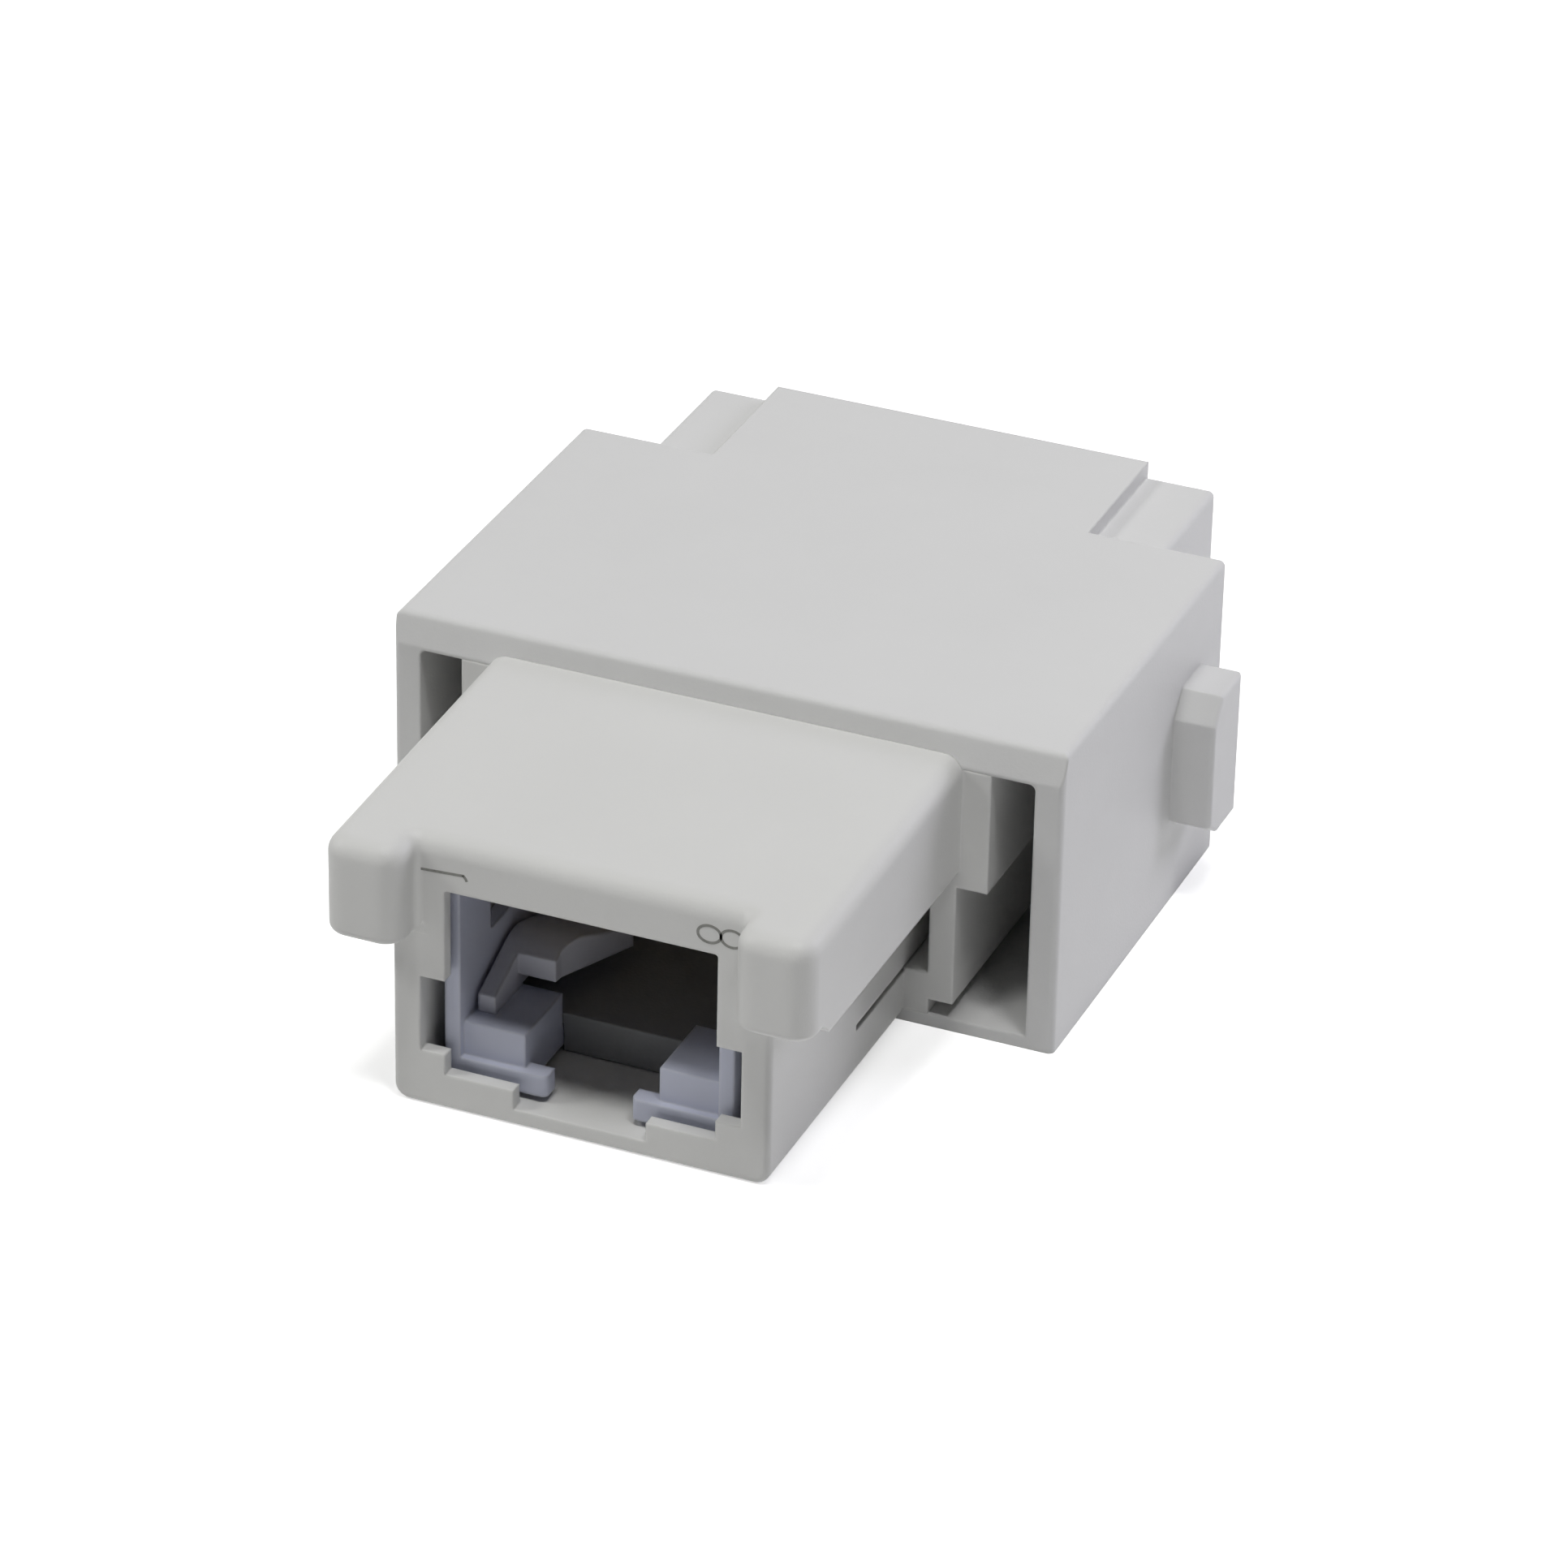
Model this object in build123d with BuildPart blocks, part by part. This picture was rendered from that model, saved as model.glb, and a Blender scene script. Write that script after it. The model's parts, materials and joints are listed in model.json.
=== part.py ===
# Ethernet bulkhead coupler: a moulded module with a modular jack at each end.
# Millimetres. X runs across, Y from the front to the rear, Z up from the underside.

import os

from build123d import *

# Module shell
shell_width = 31.3
shell_height = 14.55
shell_depth = 20.1
block_width = 24.9
block_depth = 7.5
block_drop = 0.72
plate_width = 18.3
bevel_height = 1.42
bevel_depth = 0.42
shell_edge = 0.3
side_wall = 1.28
shell_floor = 0.6
shell_roof = 1.55
back_wall = 1.3
block_wall = 1.2
end_wall = 0.7
pocket_round = 0.3
rib_length = 2.7
rail_inset = 2.0
floor_rail_width = 1.6

# Locating pegs
peg_reach = 1.92
peg_setback = 13.95
peg_length = 3.35
peg_base = 3.7
peg_height = 6.95
peg_top_run = 0.9
peg_top_drop = 1.15
peg_foot_run = 1.1
peg_foot_rise = 0.7
peg_edge = 0.2

# Front hood
nose_reach = 14.83
nose_width = 17.3
nose_round = 0.7
nose_edge = 0.3
nose_floor = 0.8
slab_width = 22.14
slab_base = 8.05
slab_lap = 0.42
slab_fall = 0.47
slab_brow = 0.85
ear_lift = 0.35
step_round = 0.3
ear_width = 3.57
ear_reach = 1.8
ear_corner = 1.05
ear_chin = 0.4
front_wall = 0.65
flange_width = 24.74
flange_neck = 21.9
flange_foot = 19.64
flange_step = 7.2
foot_height = 0.75
body_depth = 16.0
core_wall = 1.1
window_width = 1.13
window_base = 2.65
window_depth = 12.0
slit_height = 0.28
slit_reach = 5.35

# Keyed opening in front of each jack
port_width = 12.44
port_ledge = 1.7
port_round = 0.15
key_width = 14.72
key_base = 2.65
key_top = 6.3
latch_width = 6.1

# Jack housing
jack_width = 13.3
jack_wall = 0.7
jack_base = 1.1
jack_headroom = 0.63
jack_ceiling = 1.3
jack_setback = 0.95
jack_length = 14.9
plug_base = 3.7
rim_height = 1.0
rim_gap = 3.9
rim_depth = 0.9
rim_round = 0.3
shoulder_gap = 6.2
shoulder_setback = 0.38
shoulder_length = 3.8
jack_window_setback = 3.1
jack_window_length = 7.5
jack_window_height = 3.9

# Contacts, their carrier and the board
plug_depth = 11.9
contact_count = 8
contact_pitch = 1.02
contact_width = 0.4
contact_thickness = 0.35
contact_inset = 2.3
contact_tip_drop = 2.5
contact_bend = 0.45
comb_slot = 0.62
comb_depth = 1.3
carrier_core = 1.2
carrier_tray = 0.55
carrier_lip = 0.35
board_thickness = 1.6
board_hole_inset = 1.0
board_hole_radius = 0.4

# Guide finger
finger_setback = 1.38
finger_width = 0.8
finger_inset = 0.2
finger_front_height = 0.85
finger_crown_height = 2.35
finger_crown_setback = 3.6
finger_rear_height = 1.0
finger_rear_lift = 0.1
finger_bow = 2.4
tongue_width = 1.75
tongue_spread = 1.3
tongue_setback = 2.3
tongue_length = 5.2
tongue_lift = 0.8
tongue_round = 0.6

# Clearances
slide_gap = 0.05
fit_gap = 0.1

# How closely an edge or face is matched by its place
near = 0.01

# Positions along Y, with the origin below the middle of the whole length
whole_length = ear_reach + nose_reach + shell_depth + block_depth
ear_y = -whole_length / 2
nose_y = ear_y + ear_reach
face_y = nose_y + nose_reach
shell_y = face_y + shell_depth
rear_y = shell_y + block_depth
jack_y = nose_y + jack_setback
rear_jack_y = rear_y - jack_setback
middle_y = (jack_y + rear_jack_y) / 2
board_y = middle_y - board_thickness / 2
plug_y = jack_y + plug_depth
shoulder_y = jack_y + shoulder_setback + shoulder_length
lap_y = face_y + bevel_depth * slab_lap / bevel_height

# Heights and half widths that several pieces share
block_top = shell_height - block_drop
roof_z = shell_height - shell_roof
block_roof_z = block_top - block_wall
bevel_base = shell_height - bevel_height
jack_top = block_roof_z - jack_headroom
port_top = jack_top - jack_ceiling
rail_width = jack_width + 2 * slide_gap
hood_roof_z = jack_top + fit_gap
port_middle = (port_top + port_ledge) / 2


def upright(y):
    """The plane across the coupler at this depth, facing the front."""
    return Plane.XZ.offset(-y)


def slab_top(y):
    """Height of the slab's top at this depth: it falls evenly from the bevel to the front."""
    return bevel_base + slab_lap - slab_fall * (lap_y - y) / nose_reach


# Outline of the keyed opening, the same in the hood and in the rear wall
with BuildSketch(Plane.XZ) as port_outline:
    with Locations((0, port_middle)):
        Rectangle(port_width, port_top - port_ledge)
    with Locations((0, (key_base + key_top) / 2)):
        Rectangle(key_width, key_top - key_base)
    with Locations((0, nose_floor)):
        Rectangle(latch_width, port_ledge - nose_floor, align=(Align.CENTER, Align.MIN))
    fillet(port_outline.vertices().group_by(Axis.Y)[-1], radius=port_round)

# Module shell: body, rear block, plate and pegs in one moulding
with BuildPart() as module_shell:
    with BuildSketch(Plane.YZ):
        with BuildLine():
            Polyline(
                (face_y, 0),
                (face_y, bevel_base),
                (face_y + bevel_depth, shell_height),
                (shell_y, shell_height),
                (shell_y, 0),
                close=True,
            )
        make_face()
    extrude(amount=shell_width / 2, both=True)
    with BuildSketch(upright(rear_y)):
        Rectangle(block_width, block_top, align=(Align.CENTER, Align.MIN))
        Rectangle(plate_width, shell_height, align=(Align.CENTER, Align.MIN))
    extrude(amount=block_depth)
    corners = module_shell.edges().filter_by(Axis.Z)
    fillet(corners.filter_by(lambda edge: abs(edge.center().X) > block_width / 2 - near
                             and edge.length > shell_height / 2
                             and not (abs(abs(edge.center().X) - block_width / 2) < near
                                      and abs(edge.center().Y - shell_y) < near)), radius=shell_edge)
    brims = module_shell.edges().filter_by(Axis.Y).filter_by_position(
        Axis.Z, block_top - near, shell_height + near)
    front_brim = module_shell.edges().filter_by(Axis.X).group_by(Axis.Z)[-1].sort_by(Axis.Y)[0]
    fillet(brims.filter_by(lambda edge: abs(edge.center().X) > block_width / 2 - near) + [front_brim],
           radius=shell_edge)

    # Cavity behind the mouth, and the narrower one in the rear block
    with BuildSketch(upright(face_y)):
        with Locations((0, shell_floor)):
            pocket = Rectangle(shell_width - 2 * side_wall, roof_z - shell_floor,
                               align=(Align.CENTER, Align.MIN))
        fillet(pocket.vertices().group_by(Axis.Y)[-1], radius=pocket_round)
    extrude(amount=-(shell_depth - back_wall), mode=Mode.SUBTRACT)
    with BuildSketch(upright(rear_y - end_wall)):
        with Locations((0, shell_floor)):
            Rectangle(block_width - 2 * block_wall, block_roof_z - shell_floor,
                      align=(Align.CENTER, Align.MIN))
    extrude(amount=block_depth + back_wall - end_wall, mode=Mode.SUBTRACT)
    with BuildSketch(upright(rear_y)):
        add(port_outline.sketch_local)
    extrude(amount=end_wall, mode=Mode.SUBTRACT)

    # Ribs beside the hood and beside the rear jack
    with BuildSketch(upright(face_y + body_depth)):
        with Locations((0, shell_floor)):
            Rectangle(shell_width - 2 * side_wall, roof_z - shell_floor, align=(Align.CENTER, Align.MIN))
            Rectangle(flange_width + 2 * slide_gap, roof_z - shell_floor, align=(Align.CENTER, Align.MIN),
                      mode=Mode.SUBTRACT)
    extrude(amount=rib_length)
    with BuildSketch(upright(rear_y - end_wall)):
        with Locations((0, shell_floor)):
            Rectangle(rail_width + 2 * side_wall, block_roof_z - shell_floor,
                      align=(Align.CENTER, Align.MIN))
            Rectangle(rail_width, block_roof_z - shell_floor, align=(Align.CENTER, Align.MIN),
                      mode=Mode.SUBTRACT)
    extrude(amount=block_depth - end_wall)

    # Floor rails that carry the jack and the board
    with BuildSketch(Plane.XY.offset(shell_floor)):
        for side_sign in (-1, 1):
            with Locations((side_sign * (jack_width / 2 - rail_inset), rear_y - end_wall)):
                Rectangle(floor_rail_width, rear_y - end_wall - face_y - 2 * core_wall,
                          align=(Align.CENTER, Align.MAX))
    extrude(amount=jack_base - slide_gap - shell_floor)

    # Pegs
    with BuildSketch(Plane.YZ.offset(shell_width / 2)):
        peg_y = face_y + peg_setback
        with BuildLine():
            Polyline(
                (peg_y + peg_foot_run, peg_base),
                (peg_y, peg_base + peg_foot_rise),
                (peg_y, peg_base + peg_height - peg_top_drop),
                (peg_y + peg_top_run, peg_base + peg_height),
                (peg_y + peg_length, peg_base + peg_height),
                (peg_y + peg_length, peg_base),
                close=True,
            )
        make_face()
    extrude(amount=peg_reach)
    fillet(module_shell.faces().sort_by(Axis.X)[-1].edges(), radius=peg_edge)
    with BuildSketch(Plane.YZ.offset(-shell_width / 2)):
        with Locations((peg_y + peg_length / 2, peg_base + peg_height / 2)):
            Rectangle(peg_length, peg_height)
    extrude(amount=-peg_reach)
    fillet(module_shell.faces().sort_by(Axis.X)[0].edges(), radius=peg_edge)
module_shell.part.label = "module_shell"

# Nose of the front hood: a box up to the ears' underside, rounded below and round the rim of its front
with BuildPart() as hood_nose:
    with BuildSketch(upright(face_y)):
        nose = Rectangle(nose_width, slab_base + ear_lift, align=(Align.CENTER, Align.MIN))
        fillet(nose.vertices().group_by(Axis.Y)[0], radius=nose_round)
    extrude(amount=nose_reach)
    nose_corners = hood_nose.edges().filter_by(Axis.Z).group_by(Axis.Y)[0]
    fillet(nose_corners, radius=nose_edge)

# Front hood: slab and ears over the nose, the flange behind them, and the guide body inside the shell
ear_x = slab_width / 2 - ear_width
with BuildPart() as front_hood:
    with BuildSketch(Plane.YZ):
        with BuildLine():
            Polyline(
                (face_y, slab_base),
                (face_y, bevel_base),
                (lap_y, slab_top(lap_y)),
                (ear_y, slab_top(ear_y)),
                (ear_y, slab_base + ear_lift),
                (nose_y, slab_base + ear_lift),
                (nose_y + ear_lift, slab_base),
                close=True,
            )
        make_face()
    extrude(amount=slab_width / 2, both=True)
    with BuildSketch(Plane.XY.offset(slab_base)):
        with Locations((0, ear_y)):
            Rectangle(2 * ear_x, ear_reach, align=(Align.CENTER, Align.MIN))
    extrude(amount=shell_height - slab_base, mode=Mode.SUBTRACT)
    ear_corners = front_hood.edges().filter_by(Axis.Z).filter_by_position(Axis.Y, ear_y - near, ear_y + near)
    fillet(ear_corners, radius=ear_corner)
    steps = front_hood.edges().filter_by(Axis.Z).filter_by_position(Axis.Y, nose_y - near, nose_y + near)
    fillet(steps, radius=step_round)
    upward = front_hood.faces().filter_by(lambda face: face.normal_at().Z > 0.9)
    ridge = upward.sort_by(SortBy.AREA)[-1].edges()
    fillet(ridge.filter_by(lambda edge: edge.center().Y < lap_y - near), radius=slab_brow)
    ear_base = slab_base + ear_lift
    chins = front_hood.edges().filter_by_position(Axis.Z, ear_base - near, ear_base + near)
    fillet(chins.filter_by(lambda edge: edge.center().Y < nose_y - near), radius=ear_chin)
    add(hood_nose.part)

    # Flange and guide body, stepped to the shell's mouth
    with BuildSketch(upright(face_y)):
        with Locations((0, flange_step)):
            Rectangle(flange_width, roof_z - flange_step, align=(Align.CENTER, Align.MIN))
        with Locations((0, shell_floor + foot_height)):
            Rectangle(flange_neck, roof_z - shell_floor - foot_height, align=(Align.CENTER, Align.MIN))
        with Locations((0, shell_floor)):
            Rectangle(flange_foot, roof_z - shell_floor, align=(Align.CENTER, Align.MIN))
    extrude(amount=-body_depth)

    # Channel for the jack, open at the rear and below the body
    with BuildSketch(upright(nose_y + front_wall)):
        with Locations((0, nose_floor)):
            Rectangle(key_width, key_top + fit_gap - nose_floor, align=(Align.CENTER, Align.MIN))
            Rectangle(rail_width, hood_roof_z - nose_floor, align=(Align.CENTER, Align.MIN))
    extrude(amount=-(nose_reach + body_depth - front_wall), mode=Mode.SUBTRACT)
    with BuildSketch(upright(face_y + core_wall)):
        with Locations((0, shell_floor)):
            Rectangle(key_width, nose_floor - shell_floor, align=(Align.CENTER, Align.MIN))
    extrude(amount=-(body_depth - core_wall), mode=Mode.SUBTRACT)
    with BuildSketch(upright(nose_y)):
        add(port_outline.sketch_local)
    extrude(amount=-front_wall, mode=Mode.SUBTRACT)

    # Window beside the nose, and the slits that free the snap arm
    with BuildSketch(upright(face_y)):
        for side_sign in (-1, 1):
            with Locations((side_sign * (nose_width + window_width) / 2, window_base)):
                Rectangle(window_width, slab_base - window_base, align=(Align.CENTER, Align.MIN))
    extrude(amount=-window_depth, mode=Mode.SUBTRACT)
    with BuildSketch(upright(face_y - slit_reach)):
        with Locations((0, window_base + slide_gap)):
            Rectangle(nose_width, slit_height, align=(Align.CENTER, Align.MAX))
        with Locations((0, slab_base - slit_height / 2)):
            Rectangle(nose_width, slit_height, align=(Align.CENTER, Align.MAX))
        with Locations((0, (window_base + slab_base) / 2)):
            Rectangle(key_width - 2 * slit_height, slab_base, mode=Mode.SUBTRACT)
    extrude(amount=-(slit_reach + window_depth), mode=Mode.SUBTRACT)

    # Cores from the rear, so the thick shoulders keep an even wall
    with BuildSketch(upright(face_y + body_depth)):
        for side_sign in (-1, 1):
            core_inner = nose_width / 2
            core_outer = flange_width / 2 - core_wall
            with Locations((side_sign * (core_inner + core_outer) / 2, slab_base + core_wall)):
                Rectangle(core_outer - core_inner, roof_z - slab_base - 2 * core_wall,
                          align=(Align.CENTER, Align.MIN))
    extrude(amount=body_depth - core_wall, mode=Mode.SUBTRACT)
front_hood.part.label = "front_hood"

# Front jack: housing with a plug cavity, latch shoulders and split rim
with BuildPart() as front_jack:
    with BuildSketch(upright(jack_y)):
        with Locations((0, jack_base)):
            Rectangle(jack_width, jack_top - jack_base, align=(Align.CENTER, Align.MIN))
    extrude(amount=-jack_length)
    with BuildSketch(upright(jack_y)):
        with Locations((0, jack_base + rim_height)):
            Rectangle(jack_width - 2 * jack_wall, port_top - jack_base - rim_height,
                      align=(Align.CENTER, Align.MIN))
    extrude(amount=-jack_length, mode=Mode.SUBTRACT)

    # Shoulders that the plug's latch catches behind
    with BuildSketch(upright(jack_y + shoulder_setback)):
        with Locations((0, jack_base + rim_height)):
            Rectangle(jack_width - 2 * jack_wall, plug_base - jack_base - rim_height,
                      align=(Align.CENTER, Align.MIN))
            Rectangle(shoulder_gap, plug_base - jack_base - rim_height, align=(Align.CENTER, Align.MIN),
                      mode=Mode.SUBTRACT)
    extrude(amount=-shoulder_length)

    # Latch way between the rims, wider behind them
    with BuildSketch(Plane.XY.offset(jack_base)):
        with Locations((0, jack_y)):
            Rectangle(rim_gap, rim_depth, align=(Align.CENTER, Align.MIN))
        with Locations((0, jack_y + rim_depth)):
            Rectangle(shoulder_gap, shoulder_y + carrier_lip + 2 * slide_gap - jack_y - rim_depth,
                      align=(Align.CENTER, Align.MIN))
    extrude(amount=rim_height, mode=Mode.SUBTRACT)
    rim_corners = front_jack.edges().filter_by(Axis.Z).filter_by_position(
        Axis.Z, jack_base, jack_base + rim_height)
    fillet(rim_corners.filter_by(lambda edge: abs(abs(edge.center().X) - rim_gap / 2) < near
                                 and edge.center().Y < jack_y + near), radius=rim_round)

    # Side windows, and grooves in the ceiling for the contacts
    with BuildSketch(Plane.YZ):
        with Locations((jack_y + jack_window_setback, port_top)):
            Rectangle(jack_window_length, jack_window_height, align=(Align.MIN, Align.MAX))
    extrude(amount=jack_width / 2, both=True, mode=Mode.SUBTRACT)
    with BuildSketch(upright(jack_y + contact_inset - 2 * contact_thickness - contact_bend)):
        with GridLocations(contact_pitch, 1, contact_count, 1):
            with Locations((0, port_top)):
                Rectangle(comb_slot, contact_thickness + fit_gap, align=(Align.CENTER, Align.MIN))
    extrude(amount=-jack_length, mode=Mode.SUBTRACT)
front_jack.part.label = "front_jack"

# Front contact carrier: closes the plug cavity with a comb for the wire tips, and lines its floor with a tray
carrier_top = port_top - slide_gap
carrier_base = jack_base + rim_height + slide_gap
carrier_width = jack_width - 2 * jack_wall - 2 * slide_gap
with BuildPart() as front_contact_carrier:
    with BuildSketch(upright(board_y)):
        with Locations((0, carrier_base)):
            Rectangle(carrier_width, carrier_top - carrier_base, align=(Align.CENTER, Align.MIN))
    extrude(amount=board_y - plug_y)
    with BuildSketch(upright(plug_y)):
        with Locations((0, carrier_base)):
            Rectangle(carrier_width, carrier_tray, align=(Align.CENTER, Align.MIN))
    extrude(amount=plug_y - shoulder_y - slide_gap)
    with BuildSketch(upright(shoulder_y + slide_gap + carrier_lip)):
        with Locations((0, nose_floor + slide_gap)):
            Rectangle(shoulder_gap - 2 * slide_gap, carrier_base - nose_floor - slide_gap,
                      align=(Align.CENTER, Align.MIN))
    extrude(amount=carrier_lip)
    with BuildSketch(upright(plug_y)):
        with GridLocations(contact_pitch, 1, contact_count, 1):
            with Locations((0, carrier_top)):
                Rectangle(comb_slot, contact_tip_drop + 2 * contact_thickness,
                          align=(Align.CENTER, Align.MAX))
    extrude(amount=-comb_depth, mode=Mode.SUBTRACT)
    with BuildSketch(upright(board_y)):
        with Locations((0, carrier_base + carrier_core)):
            Rectangle(carrier_width - 2 * carrier_core, (carrier_top - carrier_base) / 2,
                      align=(Align.CENTER, Align.MIN))
    extrude(amount=(board_y - plug_y) / 2, mode=Mode.SUBTRACT)
front_contact_carrier.part.label = "front_contact_carrier"

# Coupler board: stands between the two carriers
with BuildPart() as coupler_board:
    with BuildSketch(upright(middle_y + board_thickness / 2)):
        with Locations((0, jack_base)):
            Rectangle(jack_width, jack_top - jack_base, align=(Align.CENTER, Align.MIN))
    extrude(amount=board_thickness)
    with BuildSketch(upright(middle_y + board_thickness / 2)):
        with GridLocations(carrier_width - 2 * board_hole_inset, 1, 2, 1):
            with Locations((0, jack_base + board_hole_inset)):
                Circle(radius=board_hole_radius)
    extrude(amount=board_thickness, mode=Mode.SUBTRACT)
coupler_board.part.label = "coupler_board"

# Guide finger: a slender arm on the left shoulder that widens into a bowed tongue.
# Its side profile and its plan are intersected.
finger_x = -jack_width / 2 + jack_wall + finger_inset
finger_y = jack_y + finger_setback
crown_y = finger_y + finger_crown_setback
tongue_y = finger_y + tongue_setback
tongue_x = finger_x + finger_width + tongue_width
with BuildPart() as guide_finger:
    with BuildSketch(Plane.YZ.offset(finger_x)):
        with BuildLine():
            Polyline(
                (finger_y, plug_base),
                (finger_y, plug_base + finger_front_height),
                (crown_y, plug_base + finger_crown_height),
                (tongue_y + tongue_length, plug_base + finger_rear_height),
                (tongue_y + tongue_length, plug_base + finger_rear_lift),
                (shoulder_y, plug_base + finger_rear_lift),
                (shoulder_y, plug_base),
                close=True,
            )
        bow = make_face()
        fillet(bow.vertices().sort_by(Axis.Y)[-1], radius=finger_bow)
    extrude(amount=jack_width / 2)
    with BuildSketch(Plane.XY.offset(plug_base)):
        with Locations((finger_x, finger_y)):
            Rectangle(finger_width, tongue_setback + tongue_length, align=(Align.MIN, Align.MIN))
        with BuildLine():
            Polyline(
                (finger_x, tongue_y),
                (tongue_x, tongue_y),
                (tongue_x, tongue_y + tongue_round),
                (tongue_x + tongue_spread, tongue_y + tongue_length),
                (finger_x, tongue_y + tongue_length),
                close=True,
            )
        make_face()
    extrude(amount=finger_crown_height, mode=Mode.INTERSECT)
    with BuildSketch(Plane.YZ.offset(finger_x + finger_width)):
        with BuildLine():
            Polyline(
                (tongue_y, plug_base),
                (tongue_y, plug_base + tongue_lift),
                (tongue_y + tongue_length, plug_base + finger_rear_lift),
                (shoulder_y, plug_base),
                close=True,
            )
        make_face()
    extrude(amount=tongue_width + tongue_spread, mode=Mode.SUBTRACT)
guide_finger.part.label = "guide_finger"

# Rear jack and carrier: the front ones turned to the rear
mirror_plane = upright(middle_y)
with BuildPart() as rear_jack:
    mirror(front_jack.part, about=mirror_plane)
rear_jack.part.label = "rear_jack"
with BuildPart() as rear_contact_carrier:
    mirror(front_contact_carrier.part, about=mirror_plane)
rear_contact_carrier.part.label = "rear_contact_carrier"

# Contact wires: flat springs along the ceiling from the board, round a bend and down into the plug cavity
wire_z = port_top + contact_thickness / 2
bend_y = jack_y + contact_inset
contacts = []
for number in range(contact_count):
    wire_x = (number - (contact_count - 1) / 2) * contact_pitch
    with BuildPart() as contact:
        with BuildSketch(Plane.YZ.offset(wire_x)):
            with BuildLine():
                Line((board_y, wire_z), (bend_y, wire_z))
                ThreePointArc((bend_y, wire_z), (bend_y - contact_bend, wire_z - contact_bend),
                              (bend_y, wire_z - 2 * contact_bend))
                Line((bend_y, wire_z - 2 * contact_bend),
                     (plug_y + comb_depth / 2, port_top - contact_tip_drop))
            trace(line_width=contact_thickness)
            with Locations((board_y, wire_z)):
                Rectangle(contact_thickness, 2 * contact_thickness, align=(Align.MIN, Align.CENTER),
                          mode=Mode.SUBTRACT)
        extrude(amount=contact_width / 2, both=True)
    contact.part.label = f"front_contact_{number + 1}"
    contacts.append(contact.part)
    with BuildPart() as rear_contact:
        mirror(contact.part, about=mirror_plane)
    rear_contact.part.label = f"rear_contact_{number + 1}"
    contacts.append(rear_contact.part)

os.makedirs("parts", exist_ok=True)
pieces = [module_shell.part, front_hood.part, front_jack.part, rear_jack.part, front_contact_carrier.part,
          rear_contact_carrier.part, coupler_board.part, guide_finger.part]
for piece in pieces + contacts:
    export_step(piece, f"parts/{piece.label}.step")
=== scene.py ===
import json
import math

import bpy
import numpy as np
from mathutils import Matrix, Vector


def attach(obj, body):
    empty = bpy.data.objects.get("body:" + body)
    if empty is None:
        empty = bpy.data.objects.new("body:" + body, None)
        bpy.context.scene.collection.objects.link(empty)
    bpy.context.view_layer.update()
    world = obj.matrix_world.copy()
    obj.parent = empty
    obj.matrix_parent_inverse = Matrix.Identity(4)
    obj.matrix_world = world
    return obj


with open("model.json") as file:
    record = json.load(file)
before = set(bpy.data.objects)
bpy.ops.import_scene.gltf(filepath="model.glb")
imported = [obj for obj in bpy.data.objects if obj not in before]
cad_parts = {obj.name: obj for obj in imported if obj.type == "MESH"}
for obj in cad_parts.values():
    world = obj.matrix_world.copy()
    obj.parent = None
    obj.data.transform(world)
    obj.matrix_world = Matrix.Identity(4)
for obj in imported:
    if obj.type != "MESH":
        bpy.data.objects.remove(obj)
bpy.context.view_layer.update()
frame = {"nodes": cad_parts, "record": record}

# Camera
# A long lens looks down on the coupler from the front and a little from the right, as in the photograph.
# Its place is in millimetres, and its turns are in degrees.

MM = 0.001
camera_place = (102.57, -248.14, 158.26)
camera_turn = 22.332
camera_look_down = 29.411
camera_roll = 1.215
camera_data = bpy.data.cameras.new("view")
camera_data.sensor_width = 36.0
camera_data.lens = 161.08
camera_data.clip_start = 0.01
camera_data.clip_end = 20.0
camera = bpy.data.objects.new("view", camera_data)
bpy.context.scene.collection.objects.link(camera)
camera.matrix_world = (
    Matrix.Translation([length * MM for length in camera_place])
    @ Matrix.Rotation(math.radians(camera_turn), 4, "Z")
    @ Matrix.Rotation(math.radians(90.0 - camera_look_down), 4, "X")
    @ Matrix.Rotation(math.radians(camera_roll), 4, "Z")
)
bpy.context.scene.camera = camera
bpy.context.scene.view_settings.view_transform = "Standard"


# Module shell
# The wide outer moulding with the pegs, of light grey glass-filled plastic with a satin skin.
# It is moulded in one shot, and its fine grain comes from the spark-eroded tool.

def put(tree, kind, place=(0, 0), **settings):
    """Adds a shader node and sets its plain properties and the values of its named or numbered sockets."""
    node = tree.nodes.new(kind)
    node.location = place
    for key, value in settings.items():
        if key == "sockets":
            for socket, number in value.items():
                node.inputs[socket].default_value = number
        else:
            setattr(node, key, value)
    return node


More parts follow.
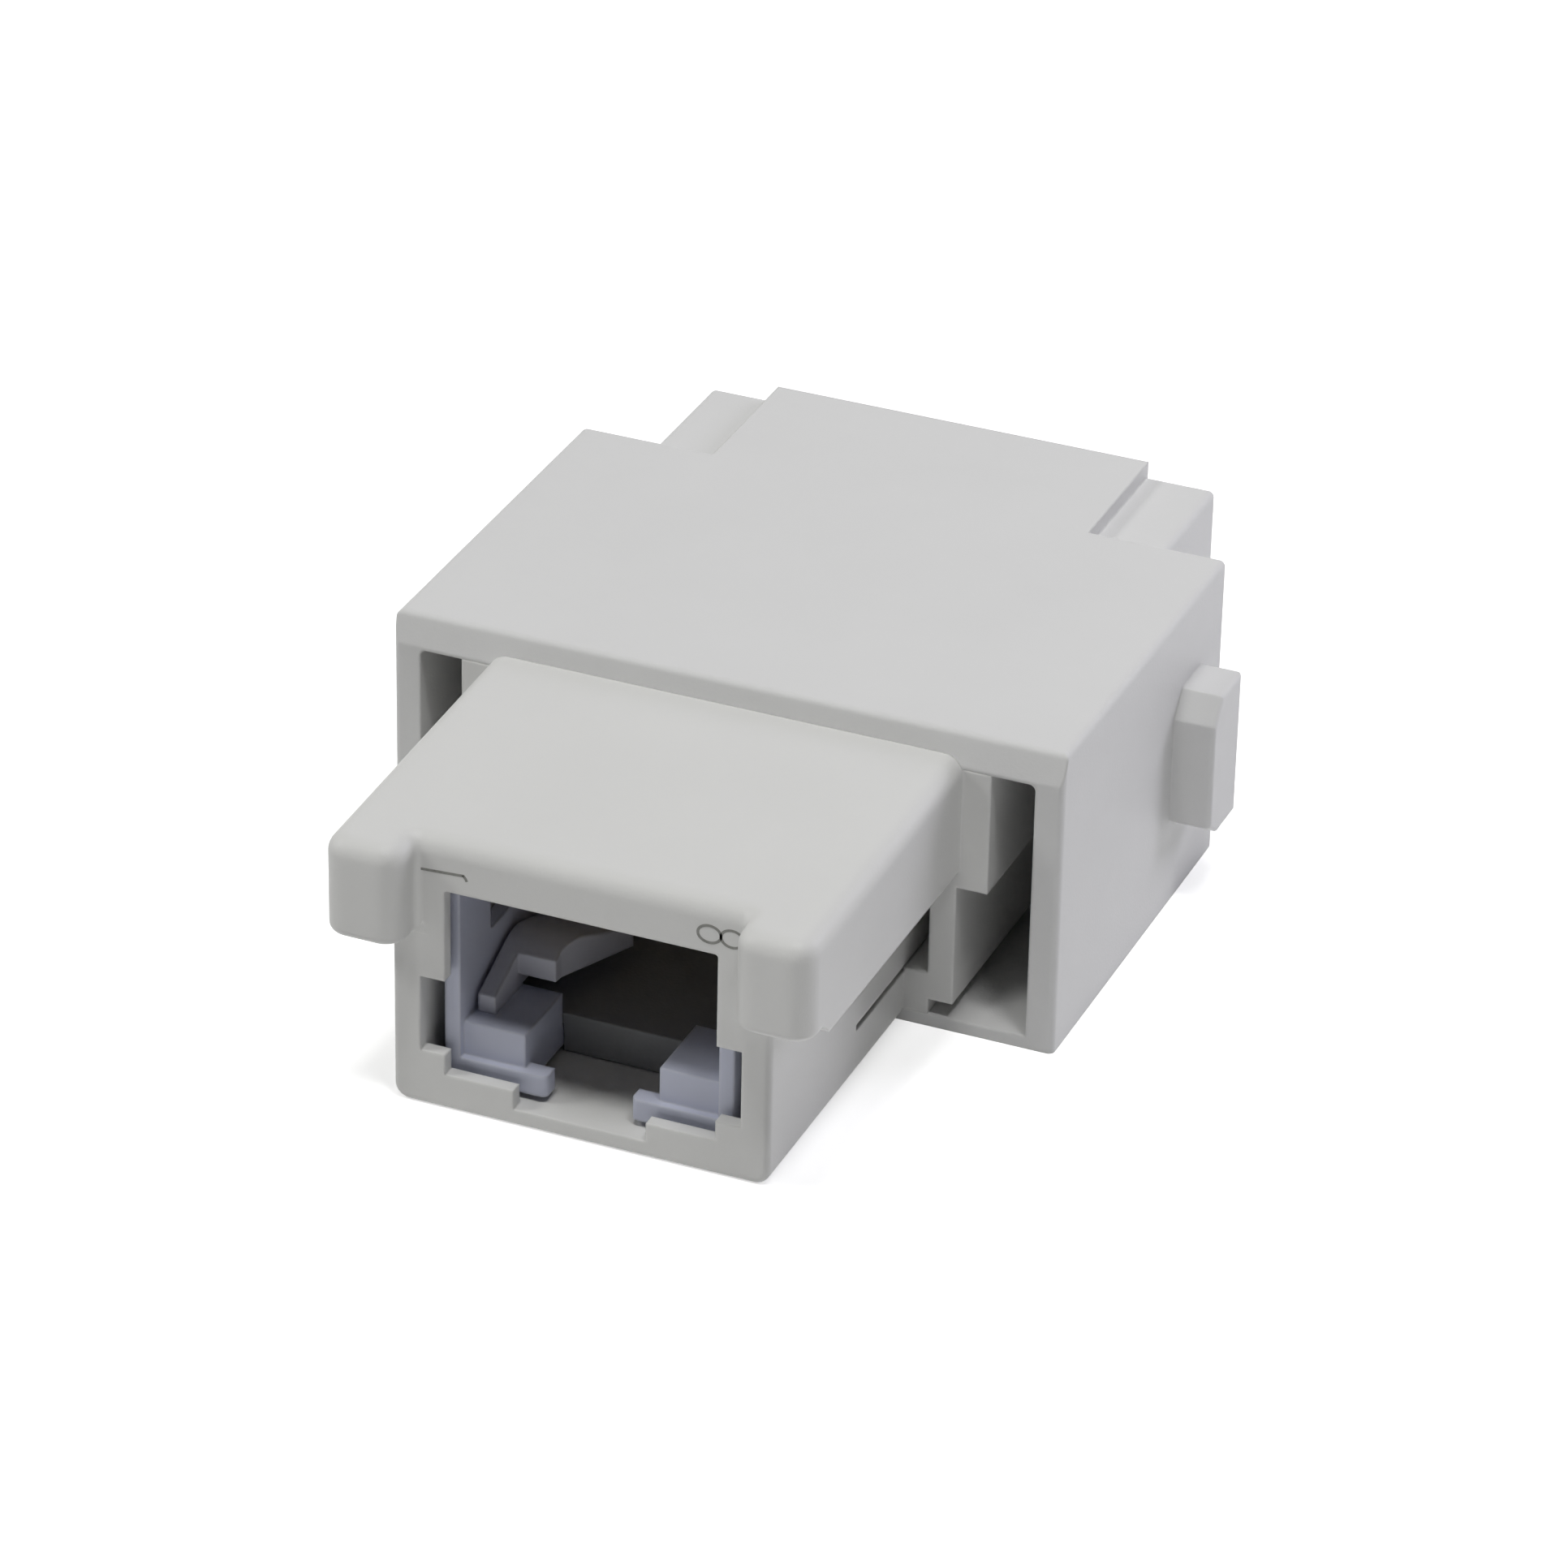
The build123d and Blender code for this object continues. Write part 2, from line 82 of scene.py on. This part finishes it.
def moulded_skin_group():
    """Moulded plastic: the colour drifts over millimetres, the grain is a tenth of a millimetre wide, and
    rims are painted paler, partly as rubbed wear and partly as a painted highlight along the edges. The rim
    mask grows as the dot product of the true normal and the normal that is rounded over a small radius falls
    below one."""
    group = bpy.data.node_groups.new("moulded_skin", "ShaderNodeTree")
    face = group.interface
    for name, kind, value in (
        ("Color", "NodeSocketColor", (0.6, 0.6, 0.6, 1.0)),
        ("Drift", "NodeSocketFloat", 0.03),
        ("Rim Wear And Highlight", "NodeSocketFloat", 0.25),
        ("Roughness", "NodeSocketFloat", 0.45),
        ("Grain Scale", "NodeSocketFloat", 9000.0),
    ):
        face.new_socket(name, in_out="INPUT", socket_type=kind).default_value = value
    face.new_socket("Color", in_out="OUTPUT", socket_type="NodeSocketColor")
    face.new_socket("Roughness", in_out="OUTPUT", socket_type="NodeSocketFloat")
    face.new_socket("Height", in_out="OUTPUT", socket_type="NodeSocketFloat")
    face.new_socket("Rounded Normal", in_out="OUTPUT", socket_type="NodeSocketVector")
    link = group.links.new
    given = put(group, "NodeGroupInput", (-900, 0))
    result = put(group, "NodeGroupOutput", (900, 0))
    place = put(group, "ShaderNodeTexCoord", (-900, -300))

    # Slow drift of the colour, from the flow of the melt
    flow = put(group, "ShaderNodeTexNoise", (-600, -200),
               sockets={"Scale": 160.0, "Detail": 3.0, "Roughness": 0.55})
    link(place.outputs["Object"], flow.inputs["Vector"])
    centred = put(group, "ShaderNodeMath", (-400, -200), operation="SUBTRACT", sockets={1: 0.5})
    link(flow.outputs["Fac"], centred.inputs[0])
    drift = put(group, "ShaderNodeMath", (-200, -200), operation="MULTIPLY_ADD", sockets={2: 1.0})
    link(centred.outputs[0], drift.inputs[0])
    link(given.outputs["Drift"], drift.inputs[1])
    shade = put(group, "ShaderNodeVectorMath", (0, 100), operation="SCALE")
    link(given.outputs["Color"], shade.inputs[0])
    link(drift.outputs[0], shade.inputs["Scale"])

    # Rims painted paler: rubbed wear, and a painted highlight along the edges
    rounded = put(group, "ShaderNodeBevel", (-600, 300), samples=6, sockets={"Radius": 0.0002})
    true_normal = put(group, "ShaderNodeNewGeometry", (-600, 500))
    facing = put(group, "ShaderNodeVectorMath", (-400, 400), operation="DOT_PRODUCT")
    link(rounded.outputs["Normal"], facing.inputs[0])
    link(true_normal.outputs["Normal"], facing.inputs[1])
    rim = put(group, "ShaderNodeMapRange", (-200, 400), clamp=True,
              sockets={"From Min": 0.995, "From Max": 0.86, "To Min": 0.0, "To Max": 1.0})
    link(facing.outputs["Value"], rim.inputs["Value"])
    patchy = put(group, "ShaderNodeTexNoise", (-600, 0),
                 sockets={"Scale": 900.0, "Detail": 4.0, "Roughness": 0.6})
    link(place.outputs["Object"], patchy.inputs["Vector"])
    wear_and_highlight = put(group, "ShaderNodeMath", (0, 400), operation="MULTIPLY")
    link(rim.outputs["Result"], wear_and_highlight.inputs[0])
    link(patchy.outputs["Fac"], wear_and_highlight.inputs[1])
    amount = put(group, "ShaderNodeMath", (200, 400), operation="MULTIPLY")
    link(wear_and_highlight.outputs[0], amount.inputs[0])
    link(given.outputs["Rim Wear And Highlight"], amount.inputs[1])
    # The pale rim colour is partly rubbed wear and partly a painted highlight along the edges.
    paler = put(group, "ShaderNodeMix", (500, 200), data_type="RGBA", sockets={7: (0.86, 0.86, 0.84, 1.0)})
    link(amount.outputs[0], paler.inputs["Factor"])
    link(shade.outputs["Vector"], paler.inputs[6])
    link(paler.outputs[2], result.inputs["Color"])

    # Sheen that varies a little, and the tool's grain
    sheen = put(group, "ShaderNodeMath", (300, -100), operation="MULTIPLY_ADD", sockets={1: 0.12})
    link(patchy.outputs["Fac"], sheen.inputs[0])
    link(given.outputs["Roughness"], sheen.inputs[2])
    link(sheen.outputs[0], result.inputs["Roughness"])
    grain = put(group, "ShaderNodeTexNoise", (-300, -500), sockets={"Detail": 2.0, "Roughness": 0.5})
    link(place.outputs["Object"], grain.inputs["Vector"])
    link(given.outputs["Grain Scale"], grain.inputs["Scale"])
    link(grain.outputs["Fac"], result.inputs["Height"])
    link(rounded.outputs["Normal"], result.inputs["Rounded Normal"])
    return group


moulded_skin = moulded_skin_group()


def moulded_plastic(name, color, drift, rim_wear_and_highlight, roughness, grain_scale, grain_depth):
    """A plastic finish: the moulded skin feeds the colour, the sheen and a grain as deep as grain_depth."""
    material = bpy.data.materials.new(name)
    material.use_nodes = True
    tree = material.node_tree
    shader = tree.nodes["Principled BSDF"]
    skin = put(tree, "ShaderNodeGroup", (-500, 0), node_tree=moulded_skin,
               sockets={"Color": (*color, 1.0), "Drift": drift, "Rim Wear And Highlight": rim_wear_and_highlight, "Roughness": roughness,
                        "Grain Scale": grain_scale})
    bump = put(tree, "ShaderNodeBump", (-250, -250), sockets={"Strength": 0.35, "Distance": grain_depth})
    tree.links.new(skin.outputs["Color"], shader.inputs["Base Color"])
    tree.links.new(skin.outputs["Roughness"], shader.inputs["Roughness"])
    tree.links.new(skin.outputs["Height"], bump.inputs["Height"])
    tree.links.new(skin.outputs["Rounded Normal"], bump.inputs["Normal"])
    tree.links.new(bump.outputs["Normal"], shader.inputs["Normal"])
    shader.inputs["IOR"].default_value = 1.5
    shader.inputs["Specular IOR Level"].default_value = 0.35
    return material


nodes = frame["nodes"]


def dress(node_name, material):
    """Gives one carried-over solid its finish."""
    data = nodes[node_name].data
    data.materials.clear()
    data.materials.append(material)


# Full rim paleness: rubbed wear, and a painted highlight along the shell's edges.
shell_plastic = moulded_plastic("shell_plastic", (0.645, 0.645, 0.642), drift=0.05, rim_wear_and_highlight=1.0, roughness=0.44,
                                grain_scale=8200.0, grain_depth=0.00002)
dress("module_shell", shell_plastic)


# Front hood
# The second moulding, of the same grey plastic in a slightly warmer batch, pushed into the shell's mouth
# and held by the snap arms beside its nose.

# Full rim paleness: rubbed wear, and a painted highlight along the hood's edges.
hood_plastic = moulded_plastic("hood_plastic", (0.645, 0.645, 0.634), drift=0.05, rim_wear_and_highlight=1.0, roughness=0.42,
                               grain_scale=8200.0, grain_depth=0.00002)
dress("front_hood", hood_plastic)


# Contact numbers
# Plain position numbers on the nose's face above the opening, one at each end of the row of contacts.
# They are moulded into the hood and lie on their sides; their dark grey is painted shade for the hollows of
# the strokes.

numeral_material = bpy.data.materials.new("numeral_groove_shade")
numeral_material.use_nodes = True
numeral_tree = numeral_material.node_tree
numeral_shader = numeral_tree.nodes["Principled BSDF"]
numeral_place = put(numeral_tree, "ShaderNodeTexCoord", (-700, 0))
numeral_noise = put(numeral_tree, "ShaderNodeTexNoise", (-500, 0), sockets={"Scale": 4000.0, "Detail": 3.0})
numeral_ramp = put(numeral_tree, "ShaderNodeValToRGB", (-300, 0))
# Dark grey painted shade, standing in for the shade inside the moulded strokes; the noise varies it a
# little.
numeral_ramp.color_ramp.elements[0].color = (0.15, 0.15, 0.14, 1.0)
numeral_ramp.color_ramp.elements[1].color = (0.30, 0.30, 0.28, 1.0)
numeral_tree.links.new(numeral_place.outputs["Object"], numeral_noise.inputs["Vector"])
numeral_tree.links.new(numeral_noise.outputs["Fac"], numeral_ramp.inputs["Fac"])
numeral_tree.links.new(numeral_ramp.outputs["Color"], numeral_shader.inputs["Base Color"])
numeral_shader.inputs["Roughness"].default_value = 0.7


def numeral_stroke(name, path, closed, width, face_y, depth):
    """A stroke on the hood's front face. Each point of the path gets two points half a width to either side,
    along the path's normal, and the strip is given depth towards the front."""
    path = np.asarray(path, float)
    ahead = np.roll(path, -1, axis=0) - np.roll(path, 1, axis=0)
    if not closed:
        ahead[0] = path[1] - path[0]
        ahead[-1] = path[-1] - path[-2]
    ahead /= np.linalg.norm(ahead, axis=1, keepdims=True)
    across = np.stack([-ahead[:, 1], ahead[:, 0]], axis=1) * width / 2
    rows = []
    for side, y in ((1, face_y), (1, face_y - depth), (-1, face_y - depth), (-1, face_y)):
        edge = path + side * across
        rows.append(np.stack([edge[:, 0], np.full(len(edge), y), edge[:, 1]], axis=1))
    points = np.concatenate(rows) * MM
    count = len(path)
    steps = np.arange(count if closed else count - 1)
    following = (steps + 1) % count
    quads = [np.stack([steps + b * count, following + b * count,
                       following + a * count, steps + a * count], axis=1)
             for a, b in ((0, 1), (1, 2), (2, 3), (3, 0))]
    faces = np.concatenate(quads).tolist()
    if not closed:
        faces.append([3 * count, 2 * count, count, 0])
        faces.append([count - 1, 2 * count - 1, 3 * count - 1, 4 * count - 1])
    mesh = bpy.data.meshes.new(name)
    mesh.from_pydata(points.tolist(), [], faces)
    mesh.validate()
    mesh.update()
    mesh.materials.append(numeral_material)
    piece = bpy.data.objects.new(name, mesh)
    bpy.context.scene.collection.objects.link(piece)
    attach(piece, "root")
    return piece


# The strokes on the nose's face, which the front socket's mount gives, in millimetres
front_socket = next(mount for mount in frame["record"]["mounts"] if mount["name"] == "front_socket")
numeral_face = front_socket["pos_m"][1] / MM
stroke_width = 0.12
stroke_depth = 0.012
eight_height = 11.6
eight_half_height = 0.4
for stroke_name, path in (
    ("numeral_one_stem", [(-7.28, 11.53), (-6.2, 11.59), (-5.3, 11.64)]),
    ("numeral_one_flag", [(-5.34, 11.67), (-5.22, 11.53), (-5.16, 11.40)]),
):
    numeral_stroke(stroke_name, path, False, stroke_width, numeral_face, stroke_depth)
turn = np.linspace(0.0, 2.0 * math.pi, 41)[:-1]
for loop_name, middle, reach in (("numeral_eight_left", 5.82, 0.52), ("numeral_eight_right", 6.84, 0.5)):
    loop = np.stack([middle + reach * np.cos(turn), eight_height + eight_half_height * np.sin(turn)], axis=1)
    numeral_stroke(loop_name, loop, True, stroke_width, numeral_face, stroke_depth)


# Jack housings
# One bluish grey housing at each end, moulded in a smoother plastic. They are slid in from behind
# and stand between the hood's walls and the ribs of the rear block.

jack_plastic = moulded_plastic("jack_plastic", (0.48, 0.50, 0.60), drift=0.06, rim_wear_and_highlight=0.35, roughness=0.34,
                               grain_scale=12000.0, grain_depth=0.00001)
dress("front_jack", jack_plastic)
dress("rear_jack", jack_plastic)


# Guide finger
# A small pale moulding that rests on the left shoulder and springs down when a plug goes in. It is bowed,
# and its plastic is smoother than the shell's.

finger_plastic = moulded_plastic("finger_plastic", (0.52, 0.525, 0.58), drift=0.05, rim_wear_and_highlight=0.30, roughness=0.42,
                                 grain_scale=12000.0, grain_depth=0.00001)
dress("guide_finger", finger_plastic)


# Contact carriers
# Dark grey insulating blocks with a comb for the springs and a tray below the plug, moulded in one piece
# and pressed against the board from both sides.

carrier_plastic = moulded_plastic("carrier_plastic", (0.24, 0.243, 0.252), drift=0.15, rim_wear_and_highlight=0.12,
                                  roughness=0.46, grain_scale=7000.0, grain_depth=0.00002)
dress("front_contact_carrier", carrier_plastic)
dress("rear_contact_carrier", carrier_plastic)


# Contact springs
# Stamped phosphor bronze, gold plated, with the draw lines of the strip along their length.

contact_gold = bpy.data.materials.new("contact_gold")
contact_gold.use_nodes = True
gold_tree = contact_gold.node_tree
gold_shader = gold_tree.nodes["Principled BSDF"]
gold_place = put(gold_tree, "ShaderNodeTexCoord", (-900, 0))
gold_stretch = put(gold_tree, "ShaderNodeMapping", (-700, 0), sockets={"Scale": (9000.0, 300.0, 9000.0)})
gold_lines = put(gold_tree, "ShaderNodeTexNoise", (-500, 0), sockets={"Scale": 1.0, "Detail": 3.0})
gold_ramp = put(gold_tree, "ShaderNodeValToRGB", (-300, 150))
gold_ramp.color_ramp.elements[0].color = (0.60, 0.48, 0.27, 1.0)
gold_ramp.color_ramp.elements[1].color = (0.80, 0.66, 0.40, 1.0)
gold_rough = put(gold_tree, "ShaderNodeMapRange", (-300, -100), sockets={"To Min": 0.18, "To Max": 0.36})
gold_bump = put(gold_tree, "ShaderNodeBump", (-300, -350), sockets={"Strength": 0.2, "Distance": 0.00001})
gold_tree.links.new(gold_place.outputs["Object"], gold_stretch.inputs["Vector"])
gold_tree.links.new(gold_stretch.outputs["Vector"], gold_lines.inputs["Vector"])
gold_tree.links.new(gold_lines.outputs["Fac"], gold_ramp.inputs["Fac"])
gold_tree.links.new(gold_lines.outputs["Fac"], gold_rough.inputs["Value"])
gold_tree.links.new(gold_lines.outputs["Fac"], gold_bump.inputs["Height"])
gold_tree.links.new(gold_ramp.outputs["Color"], gold_shader.inputs["Base Color"])
gold_tree.links.new(gold_rough.outputs["Result"], gold_shader.inputs["Roughness"])
gold_tree.links.new(gold_bump.outputs["Normal"], gold_shader.inputs["Normal"])
gold_shader.inputs["Metallic"].default_value = 1.0
for end in ("front", "rear"):
    for number in range(1, 9):
        dress(f"{end}_contact_{number}", contact_gold)


# Coupler board
# Glass-epoxy board with green lacquer; the woven glass shows faintly through it.

board_laminate = bpy.data.materials.new("board_laminate")
board_laminate.use_nodes = True
board_tree = board_laminate.node_tree
board_shader = board_tree.nodes["Principled BSDF"]
board_place = put(board_tree, "ShaderNodeTexCoord", (-1100, 0))
board_warp = put(board_tree, "ShaderNodeTexWave", (-850, 150), wave_type="BANDS", bands_direction="X",
                 sockets={"Scale": 900.0, "Distortion": 0.6})
board_weft = put(board_tree, "ShaderNodeTexWave", (-850, -150), wave_type="BANDS", bands_direction="Z",
                 sockets={"Scale": 900.0, "Distortion": 0.6})
board_weave = put(board_tree, "ShaderNodeMath", (-600, 0), operation="MULTIPLY")
board_ramp = put(board_tree, "ShaderNodeValToRGB", (-400, 100))
board_ramp.color_ramp.elements[0].color = (0.010, 0.075, 0.025, 1.0)
board_ramp.color_ramp.elements[1].color = (0.022, 0.120, 0.045, 1.0)
board_bump = put(board_tree, "ShaderNodeBump", (-300, -250), sockets={"Strength": 0.3, "Distance": 0.00001})
board_tree.links.new(board_place.outputs["Object"], board_warp.inputs["Vector"])
board_tree.links.new(board_place.outputs["Object"], board_weft.inputs["Vector"])
board_tree.links.new(board_warp.outputs["Fac"], board_weave.inputs[0])
board_tree.links.new(board_weft.outputs["Fac"], board_weave.inputs[1])
board_tree.links.new(board_weave.outputs[0], board_ramp.inputs["Fac"])
board_tree.links.new(board_weave.outputs[0], board_bump.inputs["Height"])
board_tree.links.new(board_ramp.outputs["Color"], board_shader.inputs["Base Color"])
board_tree.links.new(board_bump.outputs["Normal"], board_shader.inputs["Normal"])
board_shader.inputs["Roughness"].default_value = 0.3
dress("coupler_board", board_laminate)


# Floor
# A pale sheet of paper under the coupler. What the camera and reflections see of it is near white with the
# soft shadow left in, and white where the lamps fade out.

def seen_directly(tree, place):
    """The larger of Light Path's camera, glossy and transmission flags."""
    path = put(tree, "ShaderNodeLightPath", place)
    first = put(tree, "ShaderNodeMath", (place[0] + 200, place[1]), operation="MAXIMUM")
    second = put(tree, "ShaderNodeMath", (place[0] + 400, place[1]), operation="MAXIMUM")
    tree.links.new(path.outputs["Is Camera Ray"], first.inputs[0])
    tree.links.new(path.outputs["Is Glossy Ray"], first.inputs[1])
    tree.links.new(first.outputs[0], second.inputs[0])
    tree.links.new(path.outputs["Is Transmission Ray"], second.inputs[1])
    return second.outputs[0]


floor_reach = 3.0
floor_corners = [(-floor_reach, -floor_reach, 0), (floor_reach, -floor_reach, 0),
                 (floor_reach, floor_reach, 0), (-floor_reach, floor_reach, 0)]
floor_mesh = bpy.data.meshes.new("floor")
floor_mesh.from_pydata(floor_corners, [], [(0, 1, 2, 3)])
floor_material = bpy.data.materials.new("floor_paper")
floor_material.use_nodes = True
floor_tree = floor_material.node_tree
floor_shader = floor_tree.nodes["Principled BSDF"]
floor_shader.inputs["Base Color"].default_value = (0.88, 0.88, 0.88, 1.0)
floor_shader.inputs["Roughness"].default_value = 0.9
floor_shader.inputs["Specular IOR Level"].default_value = 0.0
floor_shader.inputs["Emission Color"].default_value = (1.0, 1.0, 1.0, 1.0)
floor_place = put(floor_tree, "ShaderNodeTexCoord", (-1100, -500))
floor_distance = put(floor_tree, "ShaderNodeVectorMath", (-900, -500), operation="LENGTH")
floor_whiteness = put(floor_tree, "ShaderNodeMapRange", (-700, -500),
                      sockets={"From Min": 0.2, "From Max": 0.9, "To Min": 0.55, "To Max": 1.0})
floor_glow = put(floor_tree, "ShaderNodeMath", (-300, -200), operation="MULTIPLY")
floor_tree.links.new(floor_place.outputs["Object"], floor_distance.inputs[0])
floor_tree.links.new(floor_distance.outputs["Value"], floor_whiteness.inputs["Value"])
floor_tree.links.new(seen_directly(floor_tree, (-1100, -200)), floor_glow.inputs[0])
floor_tree.links.new(floor_whiteness.outputs["Result"], floor_glow.inputs[1])
floor_tree.links.new(floor_glow.outputs[0], floor_shader.inputs["Emission Strength"])
floor_mesh.materials.append(floor_material)
floor = bpy.data.objects.new("floor", floor_mesh)
bpy.context.scene.collection.objects.link(floor)


# Studio light
# Small soft boxes nearly straight above light the tops and leave the inside of the jack dark; one from the
# upper left lifts the fronts, and a small cool one near the rear right fades along the right side.

world = bpy.data.worlds.new("studio")
bpy.context.scene.world = world
world.use_nodes = True
world_tree = world.node_tree
surround = world_tree.nodes["Background"]
surround.inputs["Color"].default_value = (0.96, 0.97, 1.0, 1.0)
surround.inputs["Strength"].default_value = 0.0
backdrop = put(world_tree, "ShaderNodeBackground", (0, -200),
               sockets={"Color": (1.0, 1.0, 1.0, 1.0), "Strength": 1.0})
choose = put(world_tree, "ShaderNodeMixShader", (250, 0))
world_tree.links.new(seen_directly(world_tree, (-800, 200)), choose.inputs["Fac"])
world_tree.links.new(surround.outputs["Background"], choose.inputs[1])
world_tree.links.new(backdrop.outputs["Background"], choose.inputs[2])
world_tree.links.new(choose.outputs["Shader"], world_tree.nodes["World Output"].inputs["Surface"])


def soft_box(name, place, size, power, color):
    """A square area lamp that faces the middle of the coupler."""
    lamp = bpy.data.lights.new(name, "AREA")
    lamp.shape = "SQUARE"
    lamp.size = size
    lamp.energy = power
    lamp.color = color
    rig = bpy.data.objects.new(name, lamp)
    bpy.context.scene.collection.objects.link(rig)
    rig.location = place
    rig.rotation_euler = (Vector((0, 0, 0.007)) - Vector(place)).to_track_quat("-Z", "Y").to_euler()


soft_box("overhead", (0.0, 0.0, 0.62), 0.18, 0.65, (1.0, 1.0, 1.0))
soft_box("key", (0.0, -0.16, 0.60), 0.08, 0.81, (1.0, 1.0, 0.98))
soft_box("key_right", (0.18, -0.14, 0.57), 0.10, 0.85, (1.0, 1.0, 1.0))
soft_box("left_above", (-0.45, -0.20, 0.42), 0.14, 1.14, (1.0, 1.0, 0.98))
soft_box("right_near", (0.14, 0.12, 0.10), 0.08, 0.130, (0.92, 0.91, 1.0))
